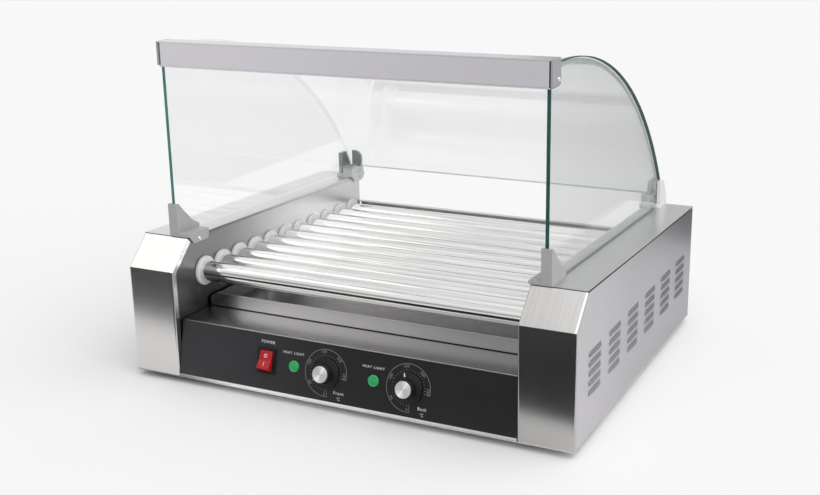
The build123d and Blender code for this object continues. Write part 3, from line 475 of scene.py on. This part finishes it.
dress(STAINLESS_FRONT, *sides("front_cover"))
dress(STAINLESS_FLAT, "control_housing", "base_pan", "tray_rails")
dress(STAINLESS_REAR, "rear_panel")
dress(STAINLESS_TRAY, "drip_tray")
dress(STAINLESS_INNER, *sides("inner_panel"))
dress(STAINLESS_SIDE, *sides("side_cover"))
dress(ALUMINIUM_BAR, "hood_bar", "hood_bar_face")
dress(GREY_PLASTIC, *sides("front_bracket"), "right_rear_bracket")
dress(SHADED_PLASTIC, "left_rear_bracket")
dress(CAP_PLASTIC, "hood_bar_caps")
dress(BUSHING_PLASTIC, *sides("roller_bushings"))
dress(ZINC, "motor_bracket", *sides("element_bar"), "drive_chain", "motor_sprocket")
dress(SHEATH, "heating_elements")
dress(SCREW, "bracket_screws", "housing_screws", "hood_bar_screws")
dress(TUBE, *[f"roller_{i:02d}" for i in range(1, 12)])
dress(LEFT_GLASS, "left_side_glass")
dress(RIGHT_GLASS, "right_side_glass")
dress(CURVED_GLASS, "curved_glass")
dress(FASCIA_BLACK, "control_fascia")
dress(BLACK_PLASTIC, "switch_bezel", "cord_gland", "front_thermostat", "back_thermostat")
dress(RED_PLASTIC, "power_rocker")
dress(MOTOR_PAINT, "gear_motor")
dress(CERAMIC, "terminal_block")
dress(RUBBER, "rubber_feet")

for node in (*sides("front_bracket"), *sides("rear_bracket")):
    soften(node, 0.5)
soften("hood_bar_caps", 0.4)
soften("switch_bezel", 0.35)
soften("power_rocker", 0.5)
soften("control_housing", 0.5)
soften("drip_tray", 0.25)
soften("hood_bar", 0.3)


# ---- side covers, with pressed louvres ----
def side_path():
    """(x, y) down the bent side sheet, from the front edge back and round the rear corner."""
    ys = [FRONT_Y + 8.3, FRONT_Y + 20.0, -194.5]
    for column in range(LOUVRE_COLUMNS):
        start = LOUVRE_FIRST_Y + column * LOUVRE_PITCH_Y
        ys += [start + LOUVRE_LENGTH * i / LOUVRE_STEPS for i in range(LOUVRE_STEPS + 1)]
    radius, bend_steps = 3.0, 6
    path = [(HALF_WIDTH, y) for y in ys] + [(HALF_WIDTH, REAR_Y - radius - 0.5)]
    for i in range(bend_steps + 1):
        turn = pi / 2 * i / bend_steps
        path.append((HALF_WIDTH - radius + radius * cos(turn), REAR_Y - radius + radius * sin(turn)))
    return path + [(226.0, REAR_Y)]


def side_top(y):
    """Height of the side cover's upper edge at y."""
    knee, crest = (-225.2, 137.4), (-197.7, 171.9)
    if y < crest[0]:
        share = (y - knee[0]) / (crest[0] - knee[0])
        return knee[1] + max(0.0, share) * (crest[1] - knee[1])
    fall = (CREST_Z - TOP_REAR_Z) / (REAR_Y - CREST_Y)
    return CREST_Z - (y - CREST_Y) * fall - 2.5


def louvre_top(row):
    return LOUVRE_TOP_Z - row * LOUVRE_PITCH_Z


def in_louvre(y):
    """Whether a louvre crosses the side sheet at y."""
    share = (y - LOUVRE_FIRST_Y) / LOUVRE_PITCH_Y
    return 0 <= share < LOUVRE_COLUMNS and (share % 1) * LOUVRE_PITCH_Y < LOUVRE_LENGTH


def side_sheet(bm, path, sign):
    """The flat sheet and its bend, with an opening for each louvre."""
    levels = [9.2, 14.0]
    first_opening = len(levels)
    for row in reversed(range(LOUVRE_ROWS)):
        levels += [louvre_top(row) - LOUVRE_OPENING, louvre_top(row)]
    levels += [120.0]
    openings = range(first_opening, first_opening + 2 * LOUVRE_ROWS, 2)
    grid = [[bm.verts.new((sign * x * MM, y * MM, z * MM)) for z in (*levels, side_top(y))] for x, y in path]
    for (p, a), (q, b) in zip(zip(path, grid), zip(path[1:], grid[1:])):
        louvred = p[0] == q[0] == HALF_WIDTH and in_louvre((p[1] + q[1]) / 2)
        for k in range(len(a) - 1):
            if not (louvred and k in openings):
                bm.faces.new((a[k], b[k], b[k + 1], a[k + 1]))


def louvre(bm, ys, top, sign):
    """One pressed louvre: a slope that swells from both ends, then a short drop to its open lower edge."""
    slope, proud = LOUVRE_SLOPE, LOUVRE_PROUD
    profile = [(slope * i / 4, proud * i / 4) for i in range(5)]
    profile += [(slope + 0.8, proud), (LOUVRE_DROP, proud)]
    patch = []
    for i, y in enumerate(ys):
        swell = max(0.0, 1 - abs(2 * i / LOUVRE_STEPS - 1) ** 3.2) ** 0.5
        patch.append([bm.verts.new((sign * (HALF_WIDTH + out * swell) * MM, y * MM, (top - down) * MM))
                      for down, out in profile])
    for a, b in zip(patch, patch[1:]):
        for j in range(len(profile) - 1):
            bm.faces.new((a[j], b[j], b[j + 1], a[j + 1]))


def side_cover(name, sign):
    """Right side cover at sign 1, left one at sign -1."""
    bm = bmesh.new()
    path = side_path()
    side_sheet(bm, path, sign)
    sheet_faces = len(bm.faces)
    ys = [y for _, y in path]
    for column in range(LOUVRE_COLUMNS):
        start = LOUVRE_FIRST_Y + column * LOUVRE_PITCH_Y
        first = next(i for i, y in enumerate(ys) if abs(y - start) < 1e-6)
        for row in range(LOUVRE_ROWS):
            louvre(bm, ys[first:first + LOUVRE_STEPS + 1], louvre_top(row), sign)
    mesh = to_mesh(name + "_pressed", bm)
    outward = next(f for f in mesh.polygons if abs(f.normal.x) > 0.99)
    if outward.normal.x * sign < 0:
        mesh.flip_normals()
    obj = piece(name + "_pressed", mesh, "housing", STAINLESS_SIDE, name, slot="satin_stainless", smooth=40)
    # the louvres take the darker copy of the steel, which is painted shade
    mesh.materials.append(STAINLESS_LOUVRE_SHADE)
    for face in mesh.polygons:
        face.use_smooth = abs(face.normal.x) < 0.999
        if face.index >= sheet_faces:
            face.material_index = 1
    solid = obj.modifiers.new("sheet", "SOLIDIFY")
    solid.thickness = 0.9 * MM
    solid.offset = -1


side_cover("right_side_cover", 1)
side_cover("left_side_cover", -1)


# ---- knobs, caps and lamps ----
def make_knob(number, which):
    x = DIAL_X[number]
    body = which + "_dial"
    at = plane_matrix(x, DIAL_UP)
    bm = bmesh.new()
    lathe(bm, KNOB_PROFILE, at)
    lathe(bm, SHAFT_PROFILE, at, 24)
    piece(which + "_knob_turned", to_mesh("knob", bm), body, BLACK_PLASTIC, which + "_knob",
          slot="black_plastic")
    bm = bmesh.new()
    lathe(bm, CAP_PROFILE, at)
    piece(which + "_knob_disc", to_mesh("disc", bm), body, spun_cap(which + "_spun_cap", x, DIAL_UP),
          which + "_knob_cap", slot="cap_aluminium")
    make_pointer(number, which + "_knob_pointer", body)


def make_pointer(number, name, body):
    """White pointer on the knob's skirt: it starts at the grip and narrows and thins outwards."""
    turned = plane_matrix(DIAL_X[number], DIAL_UP, DIAL_TURN[number])
    bm = bmesh.new()
    outline = [(-1.1, 13.2, 4.75), (1.1, 13.2, 4.75), (0.2, 17.6, 3.8), (-0.2, 17.6, 3.8)]
    low = [bm.verts.new(turned @ Vector((a, b, 3.4))) for a, b, _ in outline]
    high = [bm.verts.new(turned @ Vector(corner)) for corner in outline]
    bm.faces.new(high)
    bm.faces.new(reversed(low))
    for i in range(4):
        j = (i + 1) % 4
        bm.faces.new((low[i], low[j], high[j], high[i]))
    piece(name, to_mesh("pointer", bm), body, MARK_WHITE, smooth=0)


def make_lamp(number, which):
    bm = bmesh.new()
    lathe(bm, LAMP_PROFILE, plane_matrix(LAMP_X[number], LAMP_UP), 64)
    piece(which + "_lamp_lens", to_mesh("lamp", bm), "housing", GREEN_LENS, which + "_heat_light",
          slot="green_lens")


for number, which in enumerate(("front", "back")):
    make_knob(number, which)
    make_lamp(number, which)


# ---- printing on the fascia ----
def text_mesh(bm, words, size, matrix, bold=0.0, stretch=1.0, spacing=1.0):
    """Adds flat lettering, centred on the matrix's origin, in local millimetres."""
    curve = bpy.data.curves.new("words", "FONT")
    curve.body = words
    curve.size = size
    curve.offset = bold
    curve.space_character = spacing
    curve.align_x = "CENTER"
    curve.align_y = "CENTER"
    curve.resolution_u = 3
    holder = bpy.data.objects.new("words", curve)
    SCENE.collection.objects.link(holder)
    bpy.context.view_layer.update()
    mesh = bpy.data.meshes.new_from_object(holder.evaluated_get(bpy.context.evaluated_depsgraph_get()))
    mesh.transform(matrix @ Matrix.Translation((0, 0, PRINT_RISE)) @ Matrix.Diagonal((stretch, 1, 1, 1)))
    bm.from_mesh(mesh)
    bpy.data.objects.remove(holder)
    bpy.data.meshes.remove(mesh)


def ribbon(bm, matrix, r0, r1, start, end, steps):
    """Adds a flat arc between two clockwise angles from the top, in degrees."""
    previous = None
    for i in range(steps + 1):
        turn = radians(start + (end - start) * i / steps)
        pair = [bm.verts.new(matrix @ Vector((r * sin(turn), r * cos(turn), PRINT_RISE))) for r in (r0, r1)]
        if previous:
            bm.faces.new((previous[0], previous[1], pair[1], pair[0]))
        previous = pair


# words, x, up the fascia, size, boldness, stretch and letter spacing
LABELS = (
    ("POWER", -97.0, 56.8, 4.8, -0.01, 0.97, 1.26),
    ("HEAT LIGHT", -61.4, 48.8, 4.0, -0.015, 1.02, 1.30),
    ("HEAT LIGHT", 44.1, 48.8, 4.0, -0.015, 1.02, 1.30),
    ("Front", 1.6, 11.6, 5.2, -0.02, 0.98, 1.20),
    ("°C", 1.6, 5.0, 5.0, -0.04, 0.9, 1.0),
    ("Back", 108.0, 11.6, 5.2, -0.02, 0.98, 1.20),
    ("°C", 108.0, 5.0, 5.0, -0.04, 0.9, 1.0),
)


def dial_scale(bm, x):
    """An arc with its end lines, the numbers 0 to 250, and a tick every 10."""
    at = plane_matrix(x, DIAL_UP)
    arc_inner, arc_outer, end_line = 27.0, 27.6, 18.8
    tick_inner, tick_outer, long_tick, tick_half = 19.2, 20.9, 21.6, 0.7
    ribbon(bm, at, arc_inner, arc_outer, -187, 100, 96)
    ribbon(bm, at, end_line, arc_outer, -187.6, -186.4, 1)
    ribbon(bm, at, end_line, arc_outer, 99.4, 100.6, 1)
    for number, turn in enumerate(DIAL_SCALE):
        label = plane_matrix(x, DIAL_UP, -turn) @ Matrix.Translation((0, 24.3, 0))
        text_mesh(bm, str(50 * number), 4.5, label, 0.03, 1.15)
    for start, end in zip(DIAL_SCALE, DIAL_SCALE[1:]):
        for i in range(5):
            turn = start + (end - start) * i / 5
            ribbon(bm, at, tick_inner, tick_outer if i else long_tick, turn - tick_half, turn + tick_half, 1)
    last = DIAL_SCALE[-1]
    ribbon(bm, at, tick_inner, long_tick, last - tick_half, last + tick_half, 1)


def print_fascia():
    bright, faint = bmesh.new(), bmesh.new()
    for words, x, up, size, bold, stretch, spacing in LABELS:
        text_mesh(bright, words, size, plane_matrix(x, up), bold, stretch, spacing)
    for x in DIAL_X:
        dial_scale(faint, x)
    piece("fascia_lettering", to_mesh("lettering", bright), "housing", PRINT_WHITE, smooth=0)
    piece("fascia_dial_scales", to_mesh("scales", faint), "housing", PRINT_FAINT, smooth=0)


print_fascia()


# ---- marks on the rocker ----
def rocker_height(up):
    """How far the rocker's front stands out at this height up from its middle."""
    fold_up, fold_out = ROCKER_FOLD
    end_up, end_out = ROCKER_TOP if up > fold_up else ROCKER_NOSE
    return fold_out + (up - fold_up) * (end_out - fold_out) / (end_up - fold_up)


def on_rocker(x, up):
    """A point just off the rocker's front, in metres."""
    at = plane_matrix(ROCKER_X, ROCKER_UP + up) @ Matrix.Translation((0, 0, rocker_height(up) + 0.05))
    return at @ Vector((x, 0, 0))


def rocker_marks():
    """A ring on the upper half and a bar on the lower one, in millimetres from the rocker's middle."""
    ring_up, ring_inner, ring_outer, steps = 6.4, 1.5, 2.1, 28
    bar_up, bar_half, bar_half_width = -2.6, 2.2, 0.3
    bm = bmesh.new()
    for i in range(steps):
        a, b = 2 * pi * i / steps, 2 * pi * (i + 1) / steps
        corners = ((a, ring_inner), (a, ring_outer), (b, ring_outer), (b, ring_inner))
        bm.faces.new([bm.verts.new(on_rocker(r * cos(turn), ring_up + r * sin(turn))) for turn, r in corners])
    low, high = bar_up - bar_half, bar_up + bar_half
    bm.faces.new([bm.verts.new(on_rocker(x, up)) for x, up in (
        (-bar_half_width, low), (bar_half_width, low), (bar_half_width, high), (-bar_half_width, high))])
    piece("rocker_marks", to_mesh("marks", bm), "rocker", MARK_WHITE, smooth=0)


rocker_marks()


# ---- screws ----
def cross_head(bm, centre, axis, radius, height):
    """Pan head with a cross recess, from a disc of rings."""
    axis = Vector(axis).normalized()
    side = axis.orthogonal().normalized()
    other = axis.cross(side)
    rings, steps = 12, 48
    arm, reach, recess = 0.24 * radius, 0.62 * radius, 0.45 * height
    rows = []
    for i in range(rings + 1):
        r = radius * i / rings
        row = []
        for j in range(steps if i else 1):
            a, b = r * cos(2 * pi * j / steps), r * sin(2 * pi * j / steps)
            rise = height * (1 - (r / radius) ** 4) ** 0.5
            if (abs(a) < arm and abs(b) < reach) or (abs(b) < arm and abs(a) < reach):
                rise -= recess
            row.append(bm.verts.new((Vector(centre) + a * side + b * other + rise * axis) * MM))
        rows.append(row)
    for low, high in zip(rows, rows[1:]):
        for j in range(steps):
            k = (j + 1) % steps
            corners = [low[j % len(low)], high[j], high[k], low[k % len(low)]]
            bm.faces.new([v for n, v in enumerate(corners) if v not in corners[:n]])
    bm.faces.new(reversed(rows[-1]))


def screw_heads(name, body, node, heads):
    """One piece of several heads, each (centre, axis, radius, height) in millimetres."""
    bm = bmesh.new()
    for head in heads:
        cross_head(bm, *head)
    piece(name, to_mesh("heads", bm), body, SCREW, node, slot="screw_steel", smooth=25)


def make_screws():
    bracket, rear, bar = [], [], []
    for sign in (-1, 1):
        bracket.append(((sign * 219.9, -177.0, 169.4), (-sign, 0, 0), 2.9, 1.6))
        bracket.append(((sign * 221.2, 226.0, 159.5), (-sign, 0, 0), 1.9, 0.9))
        bar.append(((sign * 244.2, -183.8, 389.3), (sign, 0, 0), 2.6, 1.5))
    for x, z in ((275, 30), (275, 85), (275, 140), (210, 30), (210, 100), (70, 100)):
        rear += [((sign * x, REAR_Y, z), (0, 1, 0), 3.4, 1.8) for sign in (-1, 1)]
    screw_heads("bracket_screw_heads", "housing", "bracket_screws", bracket)
    screw_heads("housing_screw_heads", "housing", "housing_screws", rear)
    screw_heads("bar_screw_heads", "hood", "hood_bar_screws", bar)


make_screws()


# ---- floor and light ----
def stage_plane(name, size, material, place=None):
    """A flat rectangle of the studio, which is no part of the model. Metres."""
    mesh = bpy.data.meshes.new(name)
    w, d = size[0] / 2, size[1] / 2
    mesh.from_pydata([(-w, -d, 0), (w, -d, 0), (w, d, 0), (-w, d, 0)], [], [(0, 1, 2, 3)])
    mesh.materials.append(material)
    obj = bpy.data.objects.new(name, mesh)
    if place:
        obj.matrix_world = place
    SCENE.collection.objects.link(obj)
    return obj


def card(name, centre, size, rotation, color, strength):
    """A card seen only in reflections."""
    mat = bpy.data.materials.new(name)
    mat.use_nodes = True
    tree = mat.node_tree
    tree.nodes.clear()
    out = tree.nodes.new("ShaderNodeOutputMaterial")
    glow = tree.nodes.new("ShaderNodeEmission")
    glow.inputs["Color"].default_value = (*color, 1)
    glow.inputs["Strength"].default_value = strength
    tree.links.new(glow.outputs[0], out.inputs["Surface"])
    obj = stage_plane(name, size, mat, Matrix.Translation(centre) @ rotation)
    obj.visible_camera = False
    obj.visible_diffuse = False
    obj.visible_shadow = False
    obj.visible_transmission = False


def make_cards():
    flat = Matrix.Identity(4)
    turned = Matrix.Rotation(radians(8), 4, "Z")
    upright = Matrix.Rotation(radians(40), 4, "Z") @ Matrix.Rotation(radians(90), 4, "X")
    tilted = Matrix.Rotation(radians(-50), 4, "Y")
    card("dark_front_card", (-0.06, -0.708, 0.003), (3.0, 0.7), turned, (0.032, 0.032, 0.034), 1.0)
    card("dark_side_card", (1.4, 2.0, 0.003), (2.2, 2.8), flat, (0.16, 0.16, 0.17), 1.0)
    card("bright_front_left", (-2.3, -1.1, 2.6), (2.0, 1.6), flat, (1, 0.98, 0.96), 1.5)
    card("bright_overhead", (-0.8, 0.7, 2.6), (3.6, 1.8), flat, (0.98, 0.99, 1), 1.1)
    card("bright_rear_left", (-2.0, 2.4, 0.95), (2.4, 0.9), upright, (1, 0.99, 0.98), 1.0)
    card("bright_right", (2.4, 0.1, 1.7), (1.4, 1.6), tilted, (1, 1, 1), 1.8)


def make_sky():
    """Pale sky with a darker band above the horizon, by height from the ground (0) to the zenith (1)."""
    world = bpy.data.worlds.new("studio")
    SCENE.world = world
    world.use_nodes = True
    tree = world.node_tree
    background = tree.nodes["Background"]
    coords = tree.nodes.new("ShaderNodeTexCoord")
    parts = tree.nodes.new("ShaderNodeSeparateXYZ")
    ramp = tree.nodes.new("ShaderNodeValToRGB")
    tree.links.new(coords.outputs["Generated"], parts.inputs[0])
    tree.links.new(parts.outputs["Z"], ramp.inputs[0])
    tree.links.new(ramp.outputs[0], background.inputs["Color"])
    stops = ((0.0, 0.88), (0.12, 0.80), (0.17, 0.30), (0.26, 0.42), (0.50, 0.95), (1.0, 0.95))
    ramp.color_ramp.elements[0].position, ramp.color_ramp.elements[1].position = stops[0][0], stops[-1][0]
    for position, _ in stops[1:-1]:
        ramp.color_ramp.elements.new(position)
    for element, (_, grey) in zip(ramp.color_ramp.elements, stops):
        element.color = (grey, grey, grey, 1)
    # the sky lights matt surfaces less than it shows in reflections, so that the key gives form
    path = tree.nodes.new("ShaderNodeLightPath")
    dim = tree.nodes.new("ShaderNodeMapRange")
    dim.inputs[3].default_value, dim.inputs[4].default_value = 1.0, 0.55
    tree.links.new(path.outputs["Is Diffuse Ray"], dim.inputs[0])
    tree.links.new(dim.outputs[0], background.inputs["Strength"])


def make_key():
    sun = bpy.data.lights.new("key", "SUN")
    sun.energy = 2.3
    sun.angle = radians(100)
    holder = bpy.data.objects.new("key", sun)
    holder.rotation_euler = Vector((0.55, -0.12, 0.82)).to_track_quat("Z", "Y").to_euler()
    SCENE.collection.objects.link(holder)


FLOOR = Shade("pale_floor", (0.865, 0.865, 0.865), 1.0, Specular_IOR_Level=0.0)
stage_plane("floor", (60.0, 60.0), FLOOR.mat)
make_sky()
make_key()
make_cards()

SCENE.view_settings.view_transform = "Standard"
